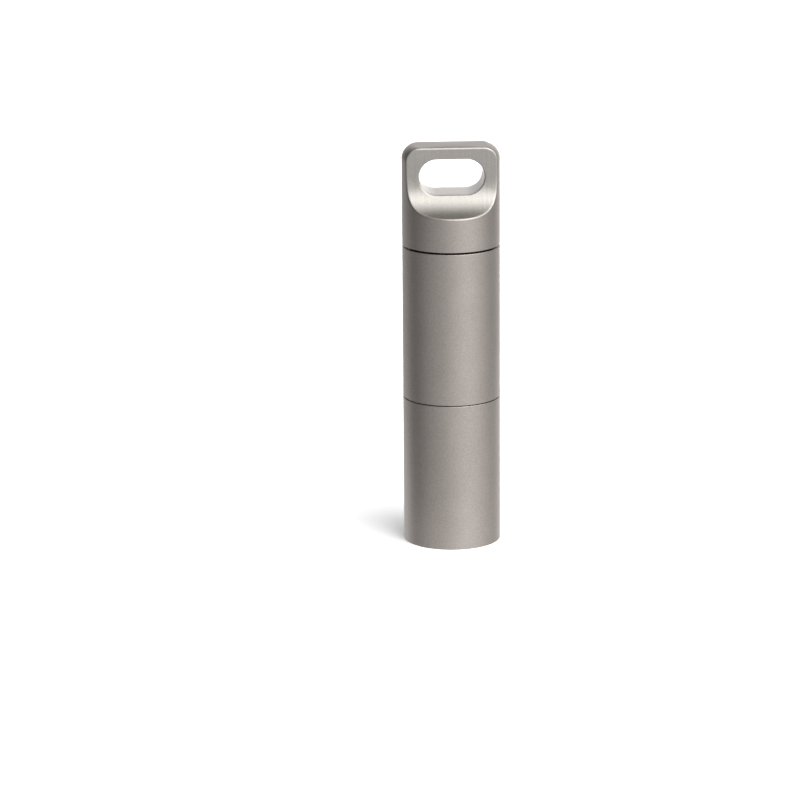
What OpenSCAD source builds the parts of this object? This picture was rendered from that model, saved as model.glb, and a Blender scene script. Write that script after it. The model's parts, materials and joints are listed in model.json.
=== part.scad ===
// Two-compartment pill capsule for a key ring.
// Three turned metal pieces screw into one straight barrel: a blind lower chamber,
// an upper chamber with a threaded stud below it, and a cap milled into a flat loop.
// A rubber ring seals each joint. Right-hand threads: turning a piece counter-clockwise,
// seen from above, unscrews it.
// The base stands on z = 0, the capsule's axis is Z, and the loop's flats face Y.

/* [Body] */
// Outside diameter of the whole capsule
body_d = 14.5; // [12:0.1:20]
// Length of the lower chamber, from its base to its rim
lower_h = 22.1; // [18:0.05:40]
// Length of the upper chamber, from its shoulder to its rim
upper_h = 22.85; // [18:0.05:40]
// Length of the cap, from its shoulder to the top of the loop
cap_h = 14.8; // [13.5:0.1:20]
// Edge break turned on the base and on the edges beside each seam
edge_break = 0.16; // [0.05:0.01:0.4]

/* [Chambers] */
// Thickness of the wall round the storage bore in both chambers
wall_t = 2.05; // [1.8:0.05:2.6]
// Thickness of metal under each storage bore
floor_t = 1.5; // [1:0.1:3]
// Radius left by the drill where a bore meets its floor
bore_corner_r = 0.6; // [0.2:0.1:1.5]

/* [Loop] */
// Thickness of the loop between its two milled flats
loop_t = 5.3; // [4:0.1:7]
// Radius turned on the top rim of the cap
loop_corner_r = 2; // [1:0.1:2.6]
// Length of the flat faces, from the top of the loop down to the scallops
flat_h = 4.85; // [3:0.05:5]
// Radius of the two scallops that run from the flats out to the barrel
scallop_r = 4.9; // [3.5:0.1:6]
// Thickness of metal beside the key-ring slot, measured through the capsule's axis
slot_side_t = 2.4; // [2:0.1:3.5]
// Height of the key-ring slot
slot_h = 5.3; // [4.5:0.1:6]
// Thickness of metal above the slot
slot_top_t = 1.75; // [1.2:0.05:2.5]

/* [Thread] */
// Rise of the thread in one turn
thread_pitch = 1; // [0.9:0.05:1.25]
// Height of the thread ridge above its core
thread_depth = 0.5; // [0.35:0.05:0.55]
// Number of turns on each stud
stud_turns = 3.5; // [2.5:0.5:4.5]
// Radial clearance between stud and mouth
thread_clear = 0.1; // [0.06:0.01:0.15]
// Room left in each mouth below the stud
mouth_room = 0.6; // [0.4:0.1:2]

/* [Studs] */
// Plain pilot at the free end of each stud, beyond its thread
stud_pilot_h = 0.3; // [0.2:0.1:1]
// Thickness of each stud's wall at its neck
stud_wall_t = 1.1; // [0.9:0.1:2]
// Depth of the hollow in each stud
stud_bore_h = 4; // [2:0.1:5]

/* [Seals] */
// Thickness of the rim round each sealing ring
rim_t = 0.95; // [0.8:0.05:1.4]
// Thickness of the sealing rings where they are squeezed
ring_t = 1; // [0.9:0.05:1.1]
// Open seam between the cap and the upper chamber
cap_seam = 0.3; // [0.1:0.01:0.4]
// Open seam between the two chambers
chamber_seam = 0.15; // [0.1:0.01:0.4]
// Depth of each ring's neck below the core of the thread
neck_relief = 0.15; // [0.1:0.01:0.2]
// Length of neck left free between each ring and the thread
neck_gap = 0.2; // [0.1:0.05:0.5]
// Clearance round each sealing ring
ring_clear = 0.02; // [0.01:0.01:0.04]

/* [Colours] */
// Colour of the bead-blasted metal
metal_colour = "#9b9691"; // ["#9b9691", "#8a8681", "#b5b1ab"]
// Colour of the sealing rings
ring_colour = "#1b1918"; // ["#1b1918", "#7a2a20", "#d8d4cc"]

/* [Hidden] */
$fn = 96;

// Facets round one turn of a thread, and facets over which a ridge runs in or out
thread_facets = 30;
run_out_facets = 8;
// Angle of a ridge's flanks, and width of its crest as a share of the pitch
flank_angle = 30;
crest_share = 0.12;
// Depth by which a ridge is rooted in the metal that carries it
root_depth = 0.1;
// One overrun for every cut that breaks a surface
over = 1;

body_r = body_d / 2;
bore_r = body_r - wall_t;

// Radii from the rim inwards: the ring seat, the stud's neck and its hollow, and from the neck
// outwards the core and the ridges of the stud, and the mouth that takes them
seat_r = body_r - rim_t;
neck_r = seat_r - ring_t;
stud_bore_r = neck_r - stud_wall_t;
core_r = neck_r + neck_relief;
stud_r = core_r + thread_depth;
mouth_r = stud_r + thread_clear;

// Width of the key-ring slot
slot_w = body_d - slot_side_t * 2;

// Depths below the shoulder of a stud: its neck, the lowest turn of its ridge, its free end,
// and the end of the threaded mouth
neck_h = ring_t + neck_gap;
ridge_h = neck_h + (stud_turns + 1 / 2) * thread_pitch;
stud_h = ridge_h + thread_pitch / 2 + stud_pilot_h;
mouth_h = stud_h + mouth_room;

// Heights of the shoulders and of the top on the standing capsule
upper_z = lower_h + chamber_seam;
cap_z = upper_z + upper_h + cap_seam;
top_z = cap_z + cap_h;

// Half of a ridge's width at a height above its root
function ridge_half_w(height) =
    crest_share * thread_pitch / 2 + (thread_depth - height) * tan(flank_angle);

// Height of a ridge at facet i of last: full in the middle, and sunk into its root at both ends
function ridge_height(i, last) =
    let (run = min(1, min(i, last - i) / run_out_facets))
    run * thread_depth - (1 - run) * root_depth / 2;

// Four points across a ridge. It stands outwards for side 1, and inwards for side -1.
function ridge_ring(i, last, root_r, side) =
    let (angle = 360 * i / thread_facets,
         z = thread_pitch * i / thread_facets,
         h = ridge_height(i, last),
         foot_r = root_r - side * root_depth,
         crest_r = root_r + side * h,
         foot_w = side * ridge_half_w(-root_depth),
         crest_w = side * ridge_half_w(h))
    [for (p = [[foot_r, z - foot_w], [crest_r, z - crest_w], [crest_r, z + crest_w], [foot_r, z + foot_w]])
        [p[0] * cos(angle), p[0] * sin(angle), p[1]]];

// A helical ridge that climbs counter-clockwise from z = 0 on a root of the given radius
module thread_ridge(root_r, side, turns) {
    last = round(turns * thread_facets);
    rings = [for (i = [0:last]) ridge_ring(i, last, root_r, side)];
    count = len(rings[0]);
    walls = [for (i = [0:last - 1]) for (k = [0:count - 1])
        let (a = i * count + k,
             b = i * count + (k + 1) % count)
        each [[a, b + count, a + count], [a, b, b + count]]];
    start = [for (k = [1:count - 2]) [0, k + 1, k]];
    end = [for (k = [1:count - 2]) [last * count, last * count + k, last * count + k + 1]];
    polyhedron(points = [for (ring = rings) each ring], faces = concat(walls, start, end), convexity = 8);
}

// A stud that hangs from its shoulder at z = 0: ring neck, thread, pilot and hollow
module stud() {
    difference() {
        union() {
            rotate_extrude()
                polygon([
                    [0, over], [neck_r, over], [neck_r, -neck_h + neck_relief], [core_r, -neck_h],
                    [core_r, -stud_h + edge_break], [core_r - edge_break, -stud_h], [0, -stud_h]
                ]);
            translate([0, 0, -ridge_h])
                thread_ridge(core_r, 1, stud_turns);
        }
        translate([0, 0, -stud_h - over])
            cylinder(r = stud_bore_r, h = stud_bore_h + over);
    }
}

// The space in a chamber under the shoulder at z = 0 that closes it: ring seat, threaded mouth,
// and storage bore down to its floor
module chamber_space(floor_z) {
    step = mouth_r - bore_r;
    rotate_extrude() {
        polygon([
            [0, over], [seat_r, over], [seat_r, -ring_t], [mouth_r, -ring_t],
            [mouth_r, -mouth_h], [bore_r, -mouth_h - step], [bore_r, floor_z + bore_corner_r],
            [0, floor_z + bore_corner_r]
        ]);
        translate([0, floor_z])
            square([bore_r - bore_corner_r, bore_corner_r * 2]);
        translate([bore_r - bore_corner_r, floor_z + bore_corner_r])
            circle(r = bore_corner_r);
    }
}

// The thread in a mouth under the shoulder at z = 0. Its ridge lies half a pitch below the stud's.
module mouth_thread() {
    translate([0, 0, -ridge_h - thread_pitch / 2])
        thread_ridge(mouth_r, -1, stud_turns + 1 / 2);
}

// A turned barrel between two heights, with its end edges broken
module barrel(low_z, high_z) {
    rotate_extrude()
        polygon([
            [0, low_z], [body_r - edge_break, low_z], [body_r, low_z + edge_break],
            [body_r, high_z - edge_break], [body_r - edge_break, high_z], [0, high_z]
        ]);
}

// A sealing ring, squeezed round the neck under the shoulder at z = 0
module seal() {
    translate([0, 0, -ring_t / 2])
        rotate_extrude()
            translate([neck_r + ring_t / 2, 0])
                circle(r = ring_t / 2 - ring_clear, $fn = 48);
}

// Blind bottom cup that the capsule stands on
module lower_chamber() {
    color(metal_colour) {
        difference() {
            barrel(0, lower_h);
            translate([0, 0, upper_z]) chamber_space(floor_t - upper_z);
        }
        translate([0, 0, upper_z]) mouth_thread();
    }
}

// Seal on the upper chamber's stud, in the mouth of the lower chamber
module chamber_o_ring() {
    color(ring_colour) translate([0, 0, upper_z]) seal();
}

// Middle piece: a cup with a threaded mouth above and a threaded stud below
module upper_chamber() {
    color(metal_colour) {
        difference() {
            barrel(upper_z, upper_z + upper_h);
            translate([0, 0, cap_z]) chamber_space(upper_z + floor_t - cap_z);
        }
        translate([0, 0, upper_z]) stud();
        translate([0, 0, cap_z]) mouth_thread();
    }
}

// Seal on the cap's stud, in the mouth of the upper chamber
module cap_o_ring() {
    color(ring_colour) translate([0, 0, cap_z]) seal();
}

// Side of the cap that is milled away: beyond one flat, and beyond the scallop below it
module loop_side_cut() {
    scallop_z = top_z - flat_h;
    scallop_y = loop_t / 2 + scallop_r;
    cut_x = body_r + over;
    translate([-cut_x, 0, 0])
        rotate([90, 0, 90])
            linear_extrude(cut_x * 2) {
                translate([scallop_y, scallop_z])
                    circle(r = scallop_r);
                translate([loop_t / 2, scallop_z])
                    square([body_d, flat_h + over]);
                translate([scallop_y, scallop_z - scallop_r])
                    square([body_d, scallop_r + flat_h + over]);
            }
}

// Obround key-ring slot through both flats
module slot_cut() {
    slot_r = slot_h / 2;
    slot_z = top_z - slot_top_t - slot_r;
    end_x = slot_w / 2 - slot_r;
    translate([0, body_r + over, slot_z])
        rotate([90, 0, 0])
            linear_extrude(body_d + over * 2) {
                translate([-end_x, -slot_r])
                    square([end_x * 2, slot_h]);
                for (x = [-end_x, end_x])
                    translate([x, 0]) circle(r = slot_r);
            }
}

// Cap: turned barrel with a rounded top rim, milled into the loop, over a threaded stud
module cap() {
    color(metal_colour) {
        difference() {
            rotate_extrude() {
                polygon([
                    [0, cap_z], [body_r - edge_break, cap_z], [body_r, cap_z + edge_break],
                    [body_r, top_z - loop_corner_r], [0, top_z - loop_corner_r]
                ]);
                translate([0, top_z - loop_corner_r - over])
                    square([body_r - loop_corner_r, loop_corner_r + over]);
                translate([body_r - loop_corner_r, top_z - loop_corner_r])
                    circle(r = loop_corner_r);
            }
            loop_side_cut();
            mirror([0, 1, 0]) loop_side_cut();
            slot_cut();
        }
        translate([0, 0, cap_z]) stud();
    }
}

lower_chamber();
chamber_o_ring();
upper_chamber();
cap_o_ring();
cap();
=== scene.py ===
"""Two-compartment pill capsule for a key ring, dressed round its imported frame.

Three pieces of bead-blasted titanium screw into one straight barrel, and two rubber rings seal
them. The meshes are modelled in millimetres, in the frame's own axes, and stored in metres.
"""

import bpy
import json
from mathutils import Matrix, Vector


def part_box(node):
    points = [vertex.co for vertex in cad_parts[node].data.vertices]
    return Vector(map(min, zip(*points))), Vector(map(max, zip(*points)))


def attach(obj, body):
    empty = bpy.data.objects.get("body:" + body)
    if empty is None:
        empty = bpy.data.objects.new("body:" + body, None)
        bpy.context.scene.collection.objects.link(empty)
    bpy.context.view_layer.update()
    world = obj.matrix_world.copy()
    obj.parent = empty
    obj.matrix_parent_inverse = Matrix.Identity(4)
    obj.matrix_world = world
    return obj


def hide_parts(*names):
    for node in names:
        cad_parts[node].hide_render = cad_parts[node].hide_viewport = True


bl_info = {
    "name": "Pill capsule for a key ring",
    "version": (1, 0, 0),
    "blender": (4, 5, 0),
    "location": "View3D > Sidebar > Capsule",
    "description": "Builds the pieces of a screw-together pill capsule, its finishes and its studio",
    "category": "Object",
}

import json
import math
from types import SimpleNamespace

import bmesh
import bpy
from bpy.props import FloatProperty, PointerProperty, StringProperty
from mathutils import Matrix, Vector

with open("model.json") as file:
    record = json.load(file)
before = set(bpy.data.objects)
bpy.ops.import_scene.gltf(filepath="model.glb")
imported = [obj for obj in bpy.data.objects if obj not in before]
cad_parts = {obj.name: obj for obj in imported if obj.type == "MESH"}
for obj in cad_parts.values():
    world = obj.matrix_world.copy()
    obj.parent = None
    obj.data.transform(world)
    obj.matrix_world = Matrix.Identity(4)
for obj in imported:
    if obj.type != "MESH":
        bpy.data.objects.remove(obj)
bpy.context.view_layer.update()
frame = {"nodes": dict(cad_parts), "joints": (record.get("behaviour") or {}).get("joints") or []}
# One millimetre in metres
MM = 0.001

# Steps of a full turn, of the barrel over one face of the loop, and of half the barrel beside it
TURN_STEPS = 168
FACE_STEPS = 64
SIDE_STEPS = 10
# Steps of a rounded edge, of one turn of a thread, and of the way round a sealing ring's section
ROUND_STEPS = 4
THREAD_STEPS = 72
SECTION_STEPS = 32
# Rings of faces over a milled face, and along the slot to its middle
FACE_RINGS = 16
WALL_RINGS = 2
# Turn of one row of the cap's top rim, and height of one row beside its flats in millimetres
RIM_ROW = math.radians(7.5)
SIDE_ROW = 0.5

# Angle of a thread's flanks, its crest as a share of the pitch, the depth of its root in the metal
# that carries it in millimetres, and the turns over which it runs in and out
FLANK_ANGLE = math.radians(30)
CREST_SHARE = 0.12
THREAD_ROOT = 0.1
RUN_OUT_TURNS = 0.27

# Two vertices this close are one, and one overrun serves every cut, both in millimetres
SAME = 0.002
OVER = 1
# A face belongs to the turned blank when its middle lies this close to it, in millimetres, and the
# cosine of the angle between their normals is above ALIGNED
NEAR_BLANK = 0.02
ALIGNED = 0.9
# An edge is drawn sharp above this angle
SHARP = math.radians(35)

# The metal finishes, and the place of each in a piece's list of materials
METALS = ("bead_blasted_titanium", "milled_titanium", "machined_titanium")
BLASTED, MILLED, MACHINED = range(3)
# Depth of a blasted dimple and of a tool's mark as shares of their widths, and the share that the
# cutter's lines have in the relief of a milled face
DIMPLE_SHARE = 0.06
MARK_SHARE = 0.05
LINE_SHARE = 0.3
# Width in millimetres of the metal's faint patches of tone, how much more its marks count in the tone
# than they do, and the darkest and the lightest tone
PATCH = 4
MARK_WEIGHT = 5
TONES = (0.64, 1.36)
# Width and depth in millimetres of the dents in the skin of moulded rubber
SKIN = (0.3, 0.01)

# Width of the camera's sensor in millimetres, and the nearest and the farthest that it sees in metres
SENSOR = 36
SIGHT = (0.01, 10)
# Half the width of the floor in metres, and how much lighter than white it is
FLOOR_HALF = 2
FLOOR_LIGHT = 1.2
# The brighter part of the light table: how far its middle lies to the right of the capsule and behind
# it and its radius, in millimetres, and how strongly it glows
LIT_TABLE = (20, 40, 65, 0.22)
# The studio's soft sources. Each has its turn round the capsule, from the front to the right, and its
# rise above the floor in degrees, then how narrow its glow is and how strong
GLOWS = {
    "key_softbox": (37, 46, 7.5, 6.2),
    "white_backdrop": (167, -3, 6.2, 1.8),
    "ceiling_panel": (180, 80, 5, 0.4),
    "light_table": (38, -48, 2.1, 1.33),
    "left_bounce": (-54, -48, 8, 1),
    "edge_bounce": (-139, -36, 25, 2.9),
}


def length(name, description, millimetres):
    """A property that holds a length, given in millimetres and stored in metres."""
    return FloatProperty(name=name, description=description, default=millimetres * MM,
                         min=0, unit="LENGTH", precision=5)


def angle(name, description, degrees):
    """A property that holds an angle, given in degrees and stored in radians."""
    return FloatProperty(name=name, description=description, default=math.radians(degrees),
                         subtype="ANGLE")


def number(name, description, value):
    """A property that holds a plain number."""
    return FloatProperty(name=name, description=description, default=value)


def colour(name, description, code):
    """A property that holds an sRGB colour as a hex code."""
    return StringProperty(name=name, description=description, default=code)


class CapsuleSizes(bpy.types.PropertyGroup):
    """Sizes of the capsule that the frame's boxes don't give."""

    wall: length("Chamber wall", "Thickness of the wall round each storage bore", 2.05)
    floor: length("Chamber floor", "Thickness of metal under each storage bore", 1.5)
    bore_corner: length("Bore corner", "Radius where a bore meets its floor", 0.6)
    ring_clear: length("Ring clearance", "Clearance round each sealing ring", 0.02)
    neck_relief: length("Neck relief", "Depth of a ring's neck below the thread's core", 0.15)
    neck_gap: length("Neck gap", "Free neck between a ring and the thread", 0.2)
    pitch: length("Thread pitch", "Rise of the thread in one turn", 1)
    thread_depth: length("Thread depth", "Height of the ridge above its core", 0.5)
    thread_clear: length("Thread clearance", "Radial clearance between stud and mouth", 0.1)
    mouth_room: length("Mouth room", "Room left in each mouth below the stud", 0.6)
    stud_wall: length("Stud wall", "Wall of each stud at its neck", 1.1)
    stud_hollow: length("Stud hollow", "Depth of the hollow in each stud", 4)
    loop_thickness: length("Loop thickness", "Thickness between the loop's two flats", 5.3)
    rim_radius: length("Rim radius", "Radius turned on the top rim of the cap", 2)
    flat_height: length("Flat height", "Height of the flats above the scallops", 4.85)
    scallop_radius: length("Scallop radius", "Radius milled from the flats out to the barrel", 4.9)
    slot_side: length("Slot side", "Metal beside the slot, through the capsule's axis", 2.4)
    slot_height: length("Slot height", "Height of the key-ring slot", 5.3)
    slot_top: length("Slot top", "Thickness of metal above the slot", 1.75)
    seam_round: length("Seam rounding", "Rounding of the edges over the seams and of the base", 0.02)
    rim_round: length("Rim rounding", "Rounding of the edges under the seams", 0.08)
    inner_round: length("Inner rounding", "Rounding of the edges in the mouths and studs", 0.08)
    loop_round: length("Loop rounding", "Rounding round the flats and scallops", 0.3)
    slot_round: length("Slot rounding", "Rounding of the edges of the slot", 0.15)
    thread_turns: number("Thread turns", "Turns of thread on each stud", 3.5)


class CapsuleFinish(bpy.types.PropertyGroup):
    """Colours and grain of the capsule's finishes."""

    titanium: colour("Titanium", "Colour of the bead-blasted metal", "#a59e99")
    milled: colour("Milled titanium", "Colour of the loop's milled faces", "#9f9c97")
    rubber: colour("Rubber", "Colour of the sealing rings", "#1b1918")
    rubber_roughness: number("Rubber roughness", "Roughness of the sealing rings", 0.55)
    blasted_roughness: number("Blasted roughness", "Roughness of the bead-blasted metal", 0.45)
    machined_roughness: number("Machined roughness", "Roughness of the metal as machined", 0.3)
    blast_grain: length("Blast grain", "Width of one dimple of the bead blasting", 0.2)
    mill_step: length("Mill step", "Width of one mark of the milling cutter", 0.35)
    tool_step: length("Tool step", "Width of one fine mark left by a cutting tool", 0.12)


class CapsuleStage(bpy.types.PropertyGroup):
    """Where the camera stands."""

    distance: length("Distance", "From the capsule's axis to the camera, along the floor", 550)
    height: length("Height", "Height of the camera above the floor", 166.9)
    turn: angle("Turn", "Angle of the camera round the capsule from straight in front", -3.51)
    pan: angle("Pan", "Angle to the left of the line to the capsule's axis", 0.806)
    tilt: angle("Tilt", "Angle of the camera below level", 14.827)
    roll: angle("Roll", "Angle of the camera about its own line of sight", -0.436)
    lens: number("Lens", "Focal length in millimetres, on a sensor 36 mm wide", 170.87)


def capsule_sizes():
    """The capsule's measures in millimetres, from the frame and the panel's sizes."""
    group = bpy.context.scene.capsule_sizes
    s = SimpleNamespace(**{name: getattr(group, name) / MM for name in group.__annotations__})
    s.thread_turns = group.thread_turns
    box = {node: [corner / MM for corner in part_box(node)] for node in frame["nodes"]}
    shoulder = {joint["child"]: joint["pos_m"][2] / MM for joint in frame["joints"] if "pos_m" in joint}

    s.upper_z, s.cap_z = shoulder["upper_chamber"], shoulder["cap"]
    s.lower_rim, s.upper_rim = box["lower_chamber"][1].z, box["upper_chamber"][1].z
    s.body, s.top = box["cap"][1].x, box["cap"][1].z
    s.stud_h = s.cap_z - box["cap"][0].z

    ring_low, ring_high = box["cap_o_ring"]
    s.ring_section = (ring_high.z - ring_low.z) / 2
    s.ring_centre = ring_high.x - s.ring_section
    s.seat = ring_high.x + s.ring_clear
    s.seat_h = (s.ring_section + s.ring_clear) * 2

    s.bore = s.body - s.wall
    s.neck = s.seat - s.seat_h
    s.core = s.neck + s.neck_relief
    s.mouth = s.core + s.thread_depth + s.thread_clear
    s.stud_bore = s.neck - s.stud_wall
    s.neck_h = s.seat_h + s.neck_gap
    s.ridge_h = s.neck_h + (s.thread_turns + 1 / 2) * s.pitch
    s.mouth_h = s.stud_h + s.mouth_room

    s.flat = s.loop_thickness / 2
    s.scallop_y, s.scallop_z = s.flat + s.scallop_radius, s.top - s.flat_height
    s.slot_radius = s.slot_height / 2
    s.slot_z = s.top - s.slot_top - s.slot_radius
    s.slot_end = s.body - s.slot_side - s.slot_radius
    return s


def spread(stops, largest):
    """The stops with equal steps between neighbours, none of them larger than largest."""
    filled = []
    for a, b in zip(stops, stops[1:]):
        count = math.ceil((b - a) / largest - SAME)
        filled += [a + (b - a) * i / count for i in range(count)]
    return filled + [stops[-1]]


def shares(count):
    """The shares from 1/count up to 1."""
    return [(i + 1) / count for i in range(count)]


def arc(centre, start, end):
    """The points of an arc from just after its start up to its end."""
    radius = (start - centre).length
    return [centre + (start - centre).slerp(end - centre, t) * radius for t in shares(ROUND_STEPS)]


def turned(profile, sectors=((math.tau, TURN_STEPS),)):
    """Spins a half profile of (radius, height, rounding) points round Z. sectors gives the angle and
    the steps of each part of the turn."""
    bm = bmesh.new()
    verts = [bm.verts.new((radius, 0, height)) for radius, height, _ in profile]
    for pair in zip(verts, verts[1:]):
        bm.edges.new(pair)
    for vert, (_, _, rounding) in zip(verts, profile):
        if rounding:
            bmesh.ops.bevel(bm, geom=[vert], offset=rounding, offset_type="OFFSET",
                            segments=ROUND_STEPS, profile=0.5, affect="VERTICES", material=-1)
    part = bm.verts[:] + bm.edges[:]
    for turn, steps in sectors:
        part = bmesh.ops.spin(bm, geom=part, axis=(0, 0, 1), angle=turn, steps=steps,
                              use_merge=turn == math.tau)["geom_last"]
    bmesh.ops.remove_doubles(bm, verts=bm.verts, dist=SAME)
    bmesh.ops.recalc_face_normals(bm, faces=bm.faces)
    return bm


def thread_ridge(s, root, side, turns, low_z):
    """A helical ridge that climbs counter-clockwise from low_z. It stands outwards from its root for
    side 1 and inwards for side -1, and sinks into its root at both ends."""
    crest_half = CREST_SHARE * s.pitch / 2
    foot_half = crest_half + (s.thread_depth + THREAD_ROOT) * math.tan(FLANK_ANGLE)
    foot, crest = root - side * THREAD_ROOT, root + side * s.thread_depth
    corners = [(foot, -foot_half), (crest, -crest_half), (crest, crest_half), (foot, foot_half)]
    bm = bmesh.new()
    bm.faces.new([bm.verts.new((radius, 0, height)) for radius, height in corners])
    bmesh.ops.spin(bm, geom=bm.verts[:] + bm.edges[:] + bm.faces[:], axis=(0, 0, 1),
                   dvec=(0, 0, s.pitch / THREAD_STEPS), angle=math.tau * turns,
                   steps=round(turns * THREAD_STEPS))
    for vert in bm.verts:
        share = math.atan2(vert.co.y, vert.co.x) / math.tau
        turn = round(vert.co.z / s.pitch - share) + share
        run = min(1, max(0, min(turn, turns - turn)) / RUN_OUT_TURNS)
        radius = math.hypot(vert.co.x, vert.co.y)
        if side * (radius - root) > 0:
            height = run * s.thread_depth - (1 - run) * THREAD_ROOT / 2
            vert.co.xy *= (root + side * height) / radius
    bmesh.ops.translate(bm, verts=bm.verts, vec=(0, 0, low_z))
    bmesh.ops.recalc_face_normals(bm, faces=bm.faces)
    return bm


def combined(bm, other, operation):
    """The solid bm after a union or an intersection with the solid other."""
    operands = []
    for solid in (bm, other):
        mesh = bpy.data.meshes.new("operand")
        solid.to_mesh(mesh)
        solid.free()
        operands.append(bpy.data.objects.new("operand", mesh))
        bpy.context.scene.collection.objects.link(operands[-1])
    modifier = operands[0].modifiers.new("Combine", "BOOLEAN")
    modifier.operation = operation
    modifier.object = operands[1]
    modifier.solver = "EXACT"
    result = bmesh.new()
    result.from_object(operands[0], bpy.context.evaluated_depsgraph_get())
    for operand in operands:
        mesh = operand.data
        bpy.data.objects.remove(operand)
        bpy.data.meshes.remove(mesh)
    bmesh.ops.remove_doubles(result, verts=result.verts, dist=SAME)
    bmesh.ops.dissolve_degenerate(result, edges=result.edges, dist=SAME)
    return result


def stud_profile(s, shoulder):
    """Half profile of a stud under its shoulder: ring neck, core, free end and hollow."""
    end = shoulder - s.stud_h
    return [
        (s.neck, shoulder, 0),
        (s.neck, shoulder - s.neck_h + s.neck_relief, 0),
        (s.core, shoulder - s.neck_h, 0),
        (s.core, end, s.inner_round),
        (s.stud_bore, end, s.inner_round),
        (s.stud_bore, end + s.stud_hollow, s.inner_round),
        (0, end + s.stud_hollow, 0),
    ]


def mouth_profile(s, rim, shoulder, floor):
    """Half profile of a chamber from its outer rim in: ring seat, threaded mouth, bore and floor."""
    return [
        (s.body, rim, s.rim_round),
        (s.seat, rim, s.inner_round),
        (s.seat, shoulder - s.seat_h, 0),
        (s.mouth, shoulder - s.seat_h, s.inner_round),
        (s.mouth, shoulder - s.mouth_h, 0),
        (s.bore, shoulder - s.mouth_h - (s.mouth - s.bore), s.inner_round),
        (s.bore, floor, s.bore_corner),
        (0, floor, 0),
    ]


def with_stud_thread(s, bm, shoulder):
    """bm with the thread of the stud under its shoulder."""
    return combined(bm, thread_ridge(s, s.core, 1, s.thread_turns, shoulder - s.ridge_h), "UNION")


def with_mouth_thread(s, bm, shoulder):
    """bm with the thread of the mouth that takes a stud, half a pitch below the stud's own."""
    low_z = shoulder - s.ridge_h - s.pitch / 2
    return combined(bm, thread_ridge(s, s.mouth, -1, s.thread_turns + 1 / 2, low_z), "UNION")


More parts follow.
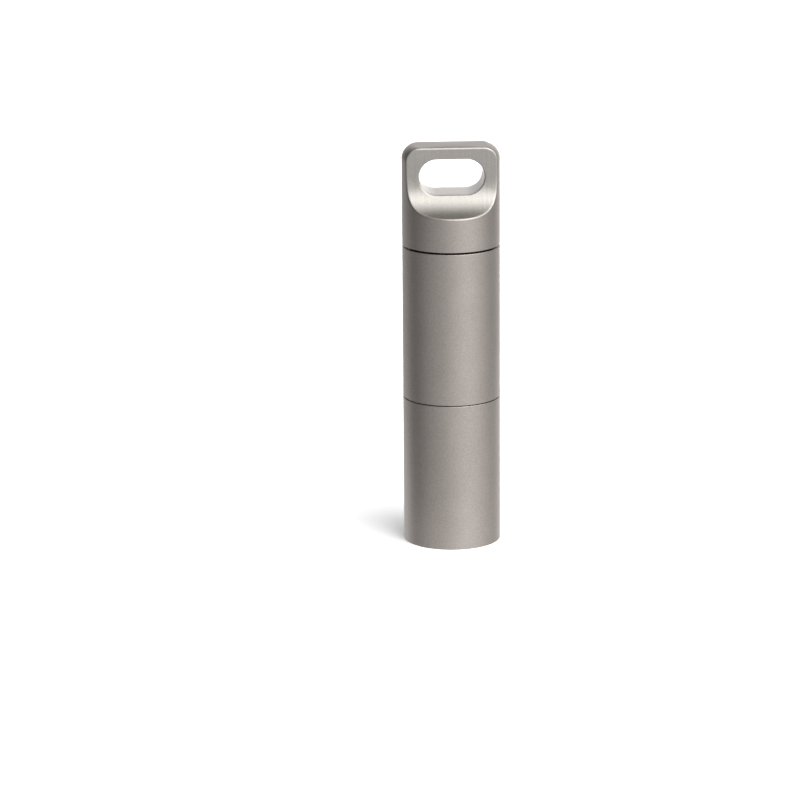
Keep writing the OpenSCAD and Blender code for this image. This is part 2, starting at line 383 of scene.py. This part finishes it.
class LoopFace:
    """The milled face on the +Y side of the loop: a flat above a scallop, with rounded edges where it
    leaves the turned blank and where it drops into the slot."""

    def __init__(self, s):
        self.s = s
        self.rim_r = s.body - s.rim_radius
        self.rim_z = s.top - s.rim_radius
        self.edge_y = s.flat - s.loop_round
        self.edge_angle = math.asin(self.edge_y / (s.body - s.loop_round))

    def sectors(self):
        """Turn and steps of each part of the blank, so that its lines meet the edges of both faces."""
        face = (math.pi - 2 * self.edge_angle, FACE_STEPS)
        side = (self.edge_angle, SIDE_STEPS)
        return [side, face, side, side, face, side]

    def blank_profile(self):
        """Half profile of the turned cap above its seam, with rows beside the flats and over the rim."""
        s = self.s
        rows = [(s.body, z, 0) for z in spread([s.scallop_z, self.rim_z], SIDE_ROW)]
        rim = [(self.rim_r + s.rim_radius * math.cos(turn), self.rim_z + s.rim_radius * math.sin(turn), 0)
               for turn in spread([0, math.pi / 2], RIM_ROW)[1:]]
        return rows + rim + [(0, s.top, 0)]

    def edge_line(self):
        """(y, z) of the line where the rounding leaves the blank, from the top down to the front."""
        s, ball = self.s, self.s.loop_round
        line = []
        for turn in spread([0, math.pi / 2], RIM_ROW):
            ball_r = self.rim_r + (s.rim_radius - ball) * math.sin(turn)
            blank_r = self.rim_r + s.rim_radius * math.sin(turn)
            line.append((self.edge_y * blank_r / ball_r, self.rim_z + s.rim_radius * math.cos(turn)))
        line.append((line[-1][0], s.scallop_z))
        for share in shares(FACE_STEPS // 2):
            turn = self.edge_angle + (math.pi / 2 - self.edge_angle) * share
            reach = s.scallop_y - (s.body - ball) * math.sin(turn)
            drop = math.sqrt((s.scallop_radius + ball) ** 2 - reach ** 2)
            line.append((s.body * math.sin(turn), s.scallop_z - drop))
        return line

    def keep(self, low_z):
        """The solid that a milling cutter leaves of the blank above low_z, out to the edge line."""
        line = self.edge_line()
        out = self.s.body + OVER
        half = [(line[0][0], self.s.top + OVER)] + line + [(out, line[-1][1]), (out, low_z)]
        bm = bmesh.new()
        outline = half + [(-y, z) for y, z in reversed(half)]
        face = bm.faces.new([bm.verts.new((-out, y, z)) for y, z in outline])
        grown = bmesh.ops.extrude_face_region(bm, geom=[face])["geom"]
        bmesh.ops.translate(bm, verts=[v for v in grown if isinstance(v, bmesh.types.BMVert)],
                            vec=(out * 2, 0, 0))
        bmesh.ops.recalc_face_normals(bm, faces=bm.faces)
        return bm

    def on_blank(self, face):
        """True for a face of the turned blank, and false for one that the cutter has left."""
        point = face.calc_center_median()
        gap = self.s.body - math.hypot(point.x, point.y)
        if point.z > self.rim_z:
            out = max(self.s.rim_radius - gap, 0)
            gap = self.s.rim_radius - math.hypot(out, point.z - self.rim_z)
        return gap < NEAR_BLANK and face.normal.dot(self.blank_normal(point)) > ALIGNED

    def blank_normal(self, point):
        """Outward normal of the turned blank at a point of its barrel, rim or top."""
        across = Vector((point.x, point.y, 0))
        if point.z <= self.rim_z:
            return across.normalized()
        out = across.normalized() * max(across.length - self.rim_r, 0)
        return (out + Vector((0, 0, point.z - self.rim_z))).normalized()

    def foot(self, point):
        """The milled face's nearest point to a point inside the metal."""
        s = self.s
        if point.z >= s.scallop_z:
            return Vector((point.x, s.flat, point.z))
        axis = Vector((point.x, s.scallop_y, s.scallop_z))
        return axis + (point - axis).normalized() * s.scallop_radius

    def laid_flat(self, point):
        """(x, way up the face) of a point of the milled face. The way is 0 where the scallop starts."""
        s = self.s
        if point.z >= s.scallop_z:
            return Vector((point.x, point.z - s.scallop_z))
        turn = math.atan2(s.scallop_z - point.z, s.scallop_y - point.y)
        return Vector((point.x, -s.scallop_radius * turn))

    def bent_back(self, laid):
        """The point of the milled face at (x, way up the face)."""
        s, x, way = self.s, laid.x, laid.y
        if way >= 0:
            return Vector((x, s.flat, s.scallop_z + way))
        turn = -way / s.scallop_radius
        return Vector((x, s.scallop_y - s.scallop_radius * math.cos(turn),
                       s.scallop_z - s.scallop_radius * math.sin(turn)))

    def slot_middle(self, point):
        """The point of the slot's middle line that is nearest to a point."""
        return Vector((max(-self.s.slot_end, min(self.s.slot_end, point.x)), 0, self.s.slot_z))

    def in_slot(self, face):
        """True for a face of the slot's wall or of its rounding."""
        point = face.calc_center_median()
        out = point - self.slot_middle(point)
        return math.hypot(out.x, out.z) < self.s.slot_radius + self.s.slot_round

    def slot_points(self, toward):
        """Where the slot's rounding, on the side that faces a point, has its ball, leaves the milled
        face and meets the slot's wall."""
        s = self.s
        middle = self.slot_middle(toward)
        out = Vector((toward.x - middle.x, 0, toward.z - middle.z)).normalized()
        ball = middle + out * (s.slot_radius + s.slot_round)
        ball.y = s.flat - s.slot_round
        if ball.z < s.scallop_z:
            reach = s.scallop_radius + s.slot_round
            ball.y = s.scallop_y - math.sqrt(reach ** 2 - (s.scallop_z - ball.z) ** 2)
        wall = middle + out * s.slot_radius
        wall.y = ball.y
        return ball, self.foot(ball), wall

    def path(self, start):
        """The points from the blank's edge over the rounding, in over the milled face, over the slot's
        rounding and along the slot's wall to its middle."""
        ball = start - self.blank_normal(start) * self.s.loop_round
        face = self.foot(ball)
        slot_ball, slot_face, wall = self.slot_points(face)
        outer, inner = self.laid_flat(face), self.laid_flat(slot_face)
        across = [self.bent_back(outer.lerp(inner, t)) for t in shares(FACE_RINGS)]
        down = [wall.lerp(Vector((wall.x, 0, wall.z)), t) for t in shares(WALL_RINGS)]
        return arc(ball, start, face) + across + arc(slot_ball, slot_face, wall) + down


def milled_loop(s, blank):
    """Mills the turned blank of the cap into its loop: one face is laid in ring by ring from the
    blank's edge to the middle of the slot, and the other is its mirror image."""
    face = LoopFace(s)
    clear_of_seam = s.cap_z + OVER
    bm = combined(blank, face.keep(s.cap_z - s.stud_h - OVER), "INTERSECT")
    bmesh.ops.bisect_plane(bm, geom=bm.verts[:] + bm.edges[:] + bm.faces[:], dist=SAME,
                           plane_co=(0, 0, 0), plane_no=(0, -1, 0), clear_outer=True)
    cut = [f for f in bm.faces if f.calc_center_median().z > clear_of_seam and not face.on_blank(f)]
    bmesh.ops.delete(bm, geom=cut, context="FACES")
    ring = [e for e in bm.edges if len(e.link_faces) == 1 and max(v.co.y for v in e.verts) > SAME]
    paths = {v: face.path(v.co) for e in ring for v in e.verts}
    for place in range(ROUND_STEPS * 2 + FACE_RINGS + WALL_RINGS):
        grown = bmesh.ops.extrude_edge_only(bm, edges=ring)["geom"]
        new = {v for v in grown if isinstance(v, bmesh.types.BMVert)}
        ring = [e for e in grown if isinstance(e, bmesh.types.BMEdge) and new.issuperset(e.verts)]
        for vert in new:
            old = next(v for e in vert.link_edges if (v := e.other_vert(vert)) not in new)
            paths[vert] = paths[old]
            vert.co = paths[vert][place]
    bmesh.ops.mirror(bm, geom=bm.verts[:] + bm.edges[:] + bm.faces[:], merge_dist=SAME, axis="Y")
    bmesh.ops.remove_doubles(bm, verts=bm.verts, dist=SAME)
    bmesh.ops.recalc_face_normals(bm, faces=bm.faces)
    return bm


def add_node(tree, kind, inputs=None, **settings):
    """Adds a node with its settings. An input is a value or another node's socket."""
    node = tree.nodes.new(kind)
    for name, value in settings.items():
        setattr(node, name, value)
    for name, value in (inputs or {}).items():
        if isinstance(value, bpy.types.NodeSocket):
            tree.links.new(value, node.inputs[name])
        else:
            node.inputs[name].default_value = value
    return node


def linear(code, light=1):
    """Linear colour of an sRGB hex code, made lighter or darker by a factor."""
    levels = [int(code[i:i + 2], 16) / 255 for i in (1, 3, 5)]
    return [light * (c / 12.92 if c <= 0.04045 else ((c + 0.055) / 1.055) ** 2.4) for c in levels] + [1]


def new_material(name):
    """A material with its node tree emptied."""
    material = bpy.data.materials.new(name)
    material.use_nodes = True
    material.node_tree.nodes.clear()
    return material, material.node_tree


def metal(name, finish, code, marks, depth, roughness):
    """Titanium with a tone and a relief that follow the marks of how it was worked. marks adds their
    nodes, from the place on the piece in metres, and depth is their depth in metres."""
    material, tree = new_material(name)
    place = add_node(tree, "ShaderNodeTexCoord").outputs["Object"]
    height = marks(tree, place, finish)
    patches = add_node(tree, "ShaderNodeTexNoise", {"Vector": place, "Scale": 1 / (PATCH * MM),
                                                    "Detail": 2})
    shade = add_node(tree, "ShaderNodeMath", {0: height, 1: MARK_WEIGHT, 2: patches.outputs["Fac"]},
                     operation="MULTIPLY_ADD")
    darkest, lightest = TONES
    tone = add_node(tree, "ShaderNodeMapRange", {"Value": shade.outputs[0], "From Max": MARK_WEIGHT + 1,
                                                 "To Min": darkest, "To Max": lightest})
    base = add_node(tree, "ShaderNodeVectorMath", {0: linear(code)[:3],
                                                   "Scale": tone.outputs[0]}, operation="SCALE")
    relief = add_node(tree, "ShaderNodeBump", {"Height": height, "Distance": depth})
    shader = add_node(tree, "ShaderNodeBsdfPrincipled",
                      {"Base Color": base.outputs[0], "Metallic": 1, "Roughness": roughness,
                       "Normal": relief.outputs[0]})
    add_node(tree, "ShaderNodeOutputMaterial", {"Surface": shader.outputs[0]})
    return material


def dimples(tree, place, finish):
    """The fine dimples that bead blasting hammers into metal. Real ones are about 0.05 mm wide, so
    they are drawn coarser to show as the faint speckle that they make."""
    return add_node(tree, "ShaderNodeTexNoise", {"Vector": place, "Scale": 1 / finish.blast_grain,
                                                 "Detail": 2, "Roughness": 0.6}).outputs["Fac"]


def cutter_lines(tree, place, finish):
    """Faint lines across the loop where the milling cutter passed, under the same dimples. Real ones
    are about 0.1 mm apart, so they are drawn coarser to show."""
    across = add_node(tree, "ShaderNodeSeparateXYZ", {"Vector": place}).outputs["X"]
    lines = add_node(tree, "ShaderNodeTexNoise", {"W": across, "Scale": 1 / finish.mill_step,
                                                  "Detail": 3}, noise_dimensions="1D")
    both = add_node(tree, "ShaderNodeMix", {"Factor": LINE_SHARE, "A": dimples(tree, place, finish),
                                            "B": lines.outputs["Fac"]})
    return both.outputs[0]


def tool_marks(tree, place, finish):
    """Fine marks left by a cutting tool: along the axis on round walls and outwards on end faces."""
    parts = add_node(tree, "ShaderNodeSeparateXYZ", {"Vector": place})
    level = add_node(tree, "ShaderNodeCombineXYZ", {"X": parts.outputs["X"], "Y": parts.outputs["Y"]})
    out = add_node(tree, "ShaderNodeVectorMath", {0: level.outputs[0]}, operation="LENGTH")
    way = add_node(tree, "ShaderNodeMath", {0: parts.outputs["Z"], 1: out.outputs["Value"]},
                   operation="ADD")
    return add_node(tree, "ShaderNodeTexNoise", {"W": way.outputs[0], "Scale": 1 / finish.tool_step,
                                                 "Detail": 1}, noise_dimensions="1D").outputs["Fac"]


def metals(finish):
    """The capsule's three metal finishes, made when the first piece asks for them: bead-blasted, a
    soft satin sheen; milled and then blasted, the same with faint lines; as machined, a brighter
    sheen that fine tool marks break up."""
    made = bpy.data.materials
    if METALS[BLASTED] not in made:
        plain, milled, rough = finish.titanium, finish.milled, finish.blasted_roughness
        dimple, mark = finish.blast_grain * DIMPLE_SHARE, finish.tool_step * MARK_SHARE
        metal(METALS[BLASTED], finish, plain, dimples, dimple, rough)
        metal(METALS[MILLED], finish, milled, cutter_lines, dimple, rough)
        metal(METALS[MACHINED], finish, plain, tool_marks, mark, finish.machined_roughness)
    return [made[name] for name in METALS]


def black_rubber(finish):
    """Nitrile rubber, moulded: near black, with a dull, slightly uneven skin."""
    material, tree = new_material("moulded_rubber")
    place = add_node(tree, "ShaderNodeTexCoord").outputs["Object"]
    width, depth = SKIN
    skin = add_node(tree, "ShaderNodeTexNoise", {"Vector": place, "Scale": 1 / (width * MM), "Detail": 2})
    dents = add_node(tree, "ShaderNodeBump", {"Height": skin.outputs["Fac"], "Strength": 0.2,
                                              "Distance": depth * MM})
    shader = add_node(tree, "ShaderNodeBsdfPrincipled",
                      {"Base Color": linear(finish.rubber), "Roughness": finish.rubber_roughness,
                       "Normal": dents.outputs["Normal"]})
    add_node(tree, "ShaderNodeOutputMaterial", {"Surface": shader.outputs["BSDF"]})
    return material


def finished(bm, name, node, materials, kind=lambda face: 0):
    """Makes bm a shown piece in metres that stands for a CAD node and rides on its body. kind gives
    the place of a face's material in the list."""
    for face in bm.faces:
        face.material_index = kind(face)
    bmesh.ops.scale(bm, vec=(MM, MM, MM), verts=bm.verts)
    mesh = bpy.data.meshes.new(name)
    bm.to_mesh(mesh)
    bm.free()
    mesh.shade_smooth()
    mesh.set_sharp_from_angle(angle=SHARP)
    for material in materials:
        mesh.materials.append(material)
    piece = bpy.data.objects.new(name, mesh)
    bpy.context.scene.collection.objects.link(piece)
    weighting = piece.modifiers.new("Weighted normals", "WEIGHTED_NORMAL")
    weighting.keep_sharp = True
    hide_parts(node)
    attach(piece, node)


def worked(s, face):
    """Place in the list of metals for a face of a turned piece: blasted outside, as machined inside."""
    point = face.calc_center_median()
    outside = math.hypot(point.x, point.y) > s.body - s.rim_round or point.z < s.seam_round
    return BLASTED if outside else MACHINED


def make_camera(scene):
    """A camera at the photograph's viewing angle."""
    stage = scene.capsule_stage
    data = bpy.data.cameras.new("camera")
    data.lens, data.sensor_width = stage.lens, SENSOR
    data.clip_start, data.clip_end = SIGHT
    camera = bpy.data.objects.new("camera", data)
    place = Matrix.Translation((0, -stage.distance, stage.height))
    facing = (Matrix.Rotation(stage.pan, 4, "Z") @ Matrix.Rotation(math.pi / 2 - stage.tilt, 4, "X")
              @ Matrix.Rotation(stage.roll, 4, "Z"))
    camera.matrix_world = Matrix.Rotation(stage.turn, 4, "Z") @ place @ facing
    scene.collection.objects.link(camera)
    scene.camera = camera


def stage_plane(name, shape, material):
    """A level plane on the floor from a shape in metres, as a piece of the stage."""
    mesh = bpy.data.meshes.new(name)
    shape.to_mesh(mesh)
    shape.free()
    mesh.materials.append(material)
    plane = bpy.data.objects.new(name, mesh)
    bpy.context.scene.collection.objects.link(plane)
    return plane


def matt_paper():
    """White studio paper: an even, matt white with no sheen, lit until it passes as the background."""
    material, tree = new_material("matt_white_paper")
    matt = add_node(tree, "ShaderNodeBsdfDiffuse", {"Color": linear("#ffffff", FLOOR_LIGHT)})
    add_node(tree, "ShaderNodeOutputMaterial", {"Surface": matt.outputs[0]})
    return material


def lit_acrylic(strength):
    """Opal acrylic with a lamp under it: an even glow, which is added to the light from behind it."""
    material, tree = new_material("lit_opal_acrylic")
    through = add_node(tree, "ShaderNodeBsdfTransparent")
    light = add_node(tree, "ShaderNodeEmission", {"Strength": strength})
    both = add_node(tree, "ShaderNodeAddShader", {0: through.outputs[0], 1: light.outputs[0]})
    add_node(tree, "ShaderNodeOutputMaterial", {"Surface": both.outputs[0]})
    return material


def make_floor():
    """A white floor that keeps the capsule's soft shadow and passes as the white background around
    it. The metal mirrors the light table in the floor's place, so the floor holds none of its light
    back."""
    bm = bmesh.new()
    bmesh.ops.create_grid(bm, x_segments=1, y_segments=1, size=FLOOR_HALF)
    floor = stage_plane("floor", bm, matt_paper())
    floor.visible_glossy = floor.visible_shadow = False


def make_lit_table():
    """The brighter part of the light table, just under the floor. It shows only in the metal, close
    to the base."""
    right, behind, radius, strength = LIT_TABLE
    bm = bmesh.new()
    bmesh.ops.create_circle(bm, cap_ends=True, segments=TURN_STEPS, radius=radius * MM)
    bmesh.ops.translate(bm, verts=bm.verts, vec=(right * MM, behind * MM, -SAME * MM))
    table = stage_plane("lit_table", bm, lit_acrylic(strength))
    table.visible_camera = table.visible_diffuse = table.visible_shadow = False


def aim(turn, rise):
    """The direction of a source from its turn and rise in degrees."""
    turn, rise = math.radians(turn), math.radians(rise)
    return math.sin(turn) * math.cos(rise), -math.cos(turn) * math.cos(rise), math.sin(rise)


def make_world(scene):
    """A dark room with soft sources of light, and pure white where the camera sees it. A source fades
    with the angle from its aim, as strength * e ** (focus * (cosine of that angle - 1))."""
    world = bpy.data.worlds.new("studio")
    world.use_nodes = True
    tree = world.node_tree
    tree.nodes.clear()
    way = add_node(tree, "ShaderNodeTexCoord").outputs["Generated"]
    light = 0
    for name, (turn, rise, focus, strength) in GLOWS.items():
        near = add_node(tree, "ShaderNodeVectorMath", {0: way, 1: aim(turn, rise)},
                        operation="DOT_PRODUCT")
        drop = add_node(tree, "ShaderNodeMath", {0: near.outputs["Value"], 1: focus, 2: -focus},
                        operation="MULTIPLY_ADD")
        glow = add_node(tree, "ShaderNodeMath", {0: drop.outputs[0]}, operation="EXPONENT")
        total = add_node(tree, "ShaderNodeMath", {0: glow.outputs[0], 1: strength, 2: light},
                         operation="MULTIPLY_ADD", label=name)
        light = total.outputs[0]
    room = add_node(tree, "ShaderNodeBackground", {"Color": linear("#ffffff"), "Strength": light})
    white = add_node(tree, "ShaderNodeBackground", {"Color": linear("#ffffff")})
    camera_ray = add_node(tree, "ShaderNodeLightPath").outputs["Is Camera Ray"]
    both = add_node(tree, "ShaderNodeMixShader", {0: camera_ray, 1: room.outputs[0],
                                                  2: white.outputs[0]})
    add_node(tree, "ShaderNodeOutputWorld", {"Surface": both.outputs[0]})
    scene.world = world


class CAPSULE_OT_lower_chamber(bpy.types.Operator):
    """Build the blind lower chamber"""

    bl_idname = "capsule.lower_chamber"
    bl_label = "Lower chamber"

    def execute(self, context):
        s = capsule_sizes()
        base = [(0, 0, 0), (s.body, 0, s.seam_round)]
        bm = turned(base + mouth_profile(s, s.lower_rim, s.upper_z, s.floor))
        bm = with_mouth_thread(s, bm, s.upper_z)
        finished(bm, "lower_chamber_cup", "lower_chamber",
                 metals(context.scene.capsule_finish), lambda face: worked(s, face))
        return {"FINISHED"}


class CAPSULE_OT_upper_chamber(bpy.types.Operator):
    """Build the upper chamber with its threaded stud"""

    bl_idname = "capsule.upper_chamber"
    bl_label = "Upper chamber"

    def execute(self, context):
        s = capsule_sizes()
        stud = list(reversed(stud_profile(s, s.upper_z)))
        barrel = [(s.body, s.upper_z, s.seam_round)]
        mouth = mouth_profile(s, s.upper_rim, s.cap_z, s.upper_z + s.floor)
        bm = turned(stud + barrel + mouth)
        bm = with_stud_thread(s, bm, s.upper_z)
        bm = with_mouth_thread(s, bm, s.cap_z)
        finished(bm, "upper_chamber_cup", "upper_chamber",
                 metals(context.scene.capsule_finish), lambda face: worked(s, face))
        return {"FINISHED"}


class CAPSULE_OT_cap(bpy.types.Operator):
    """Build the cap with its milled loop and threaded stud"""

    bl_idname = "capsule.cap"
    bl_label = "Cap"

    def execute(self, context):
        s = capsule_sizes()
        stud = list(reversed(stud_profile(s, s.cap_z)))
        loop = LoopFace(s)
        blank = turned(stud + [(s.body, s.cap_z, s.seam_round)] + loop.blank_profile(), loop.sectors())
        bm = with_stud_thread(s, milled_loop(s, blank), s.cap_z)

        def kind(face):
            if face.calc_center_median().z < s.cap_z + OVER:
                return worked(s, face)
            if loop.in_slot(face):
                return MACHINED
            return BLASTED if loop.on_blank(face) else MILLED

        finished(bm, "cap_loop", "cap", metals(context.scene.capsule_finish), kind)
        return {"FINISHED"}


class CAPSULE_OT_seals(bpy.types.Operator):
    """Build the two sealing rings"""

    bl_idname = "capsule.seals"
    bl_label = "Sealing rings"

    def execute(self, context):
        s = capsule_sizes()
        rubber = black_rubber(context.scene.capsule_finish)
        for name, node, shoulder in (("chamber_seal", "chamber_o_ring", s.upper_z),
                                     ("cap_seal", "cap_o_ring", s.cap_z)):
            bm = bmesh.new()
            bmesh.ops.create_circle(bm, segments=SECTION_STEPS, radius=s.ring_section)
            bmesh.ops.rotate(bm, verts=bm.verts, matrix=Matrix.Rotation(math.pi / 2, 3, "X"))
            bmesh.ops.translate(bm, verts=bm.verts, vec=(s.ring_centre, 0, shoulder - s.seat_h / 2))
            bmesh.ops.spin(bm, geom=bm.verts[:] + bm.edges[:], axis=(0, 0, 1), angle=math.tau,
                           steps=TURN_STEPS, use_merge=True)
            bmesh.ops.remove_doubles(bm, verts=bm.verts, dist=SAME)
            bmesh.ops.recalc_face_normals(bm, faces=bm.faces)
            finished(bm, name, node, [rubber])
        return {"FINISHED"}


class CAPSULE_OT_stage(bpy.types.Operator):
    """Set up the floor, the lights and the camera"""

    bl_idname = "capsule.stage"
    bl_label = "Stage"

    def execute(self, context):
        scene = context.scene
        scene.view_settings.view_transform = "Standard"
        make_camera(scene)
        make_floor()
        make_lit_table()
        make_world(scene)
        return {"FINISHED"}


class CAPSULE_PT_panel(bpy.types.Panel):
    """Lists the capsule's pieces, sizes and finishes"""

    bl_label = "Pill capsule"
    bl_idname = "CAPSULE_PT_panel"
    bl_space_type = "VIEW_3D"
    bl_region_type = "UI"
    bl_category = "Capsule"

    def draw(self, context):
        for operator in OPERATORS:
            self.layout.operator(operator.bl_idname)
        for name in PROPERTY_GROUPS:
            group = getattr(context.scene, name)
            box = self.layout.box()
            for field in group.__annotations__:
                box.prop(group, field)


PROPERTY_GROUPS = {
    "capsule_sizes": CapsuleSizes,
    "capsule_finish": CapsuleFinish,
    "capsule_stage": CapsuleStage,
}
OPERATORS = (CAPSULE_OT_lower_chamber, CAPSULE_OT_upper_chamber, CAPSULE_OT_cap, CAPSULE_OT_seals,
             CAPSULE_OT_stage)
CLASSES = (*PROPERTY_GROUPS.values(), *OPERATORS, CAPSULE_PT_panel)


def register():
    for cls in CLASSES:
        bpy.utils.register_class(cls)
    for name, group in PROPERTY_GROUPS.items():
        setattr(bpy.types.Scene, name, PointerProperty(type=group))


def unregister():
    for name in PROPERTY_GROUPS:
        delattr(bpy.types.Scene, name)
    for cls in reversed(CLASSES):
        bpy.utils.unregister_class(cls)


def main():
    """Registers the add-on, and builds every piece and the stage."""
    register()
    bpy.ops.capsule.lower_chamber()
    bpy.ops.capsule.upper_chamber()
    bpy.ops.capsule.cap()
    bpy.ops.capsule.seals()
    bpy.ops.capsule.stage()


if __name__ == "__main__":
    main()
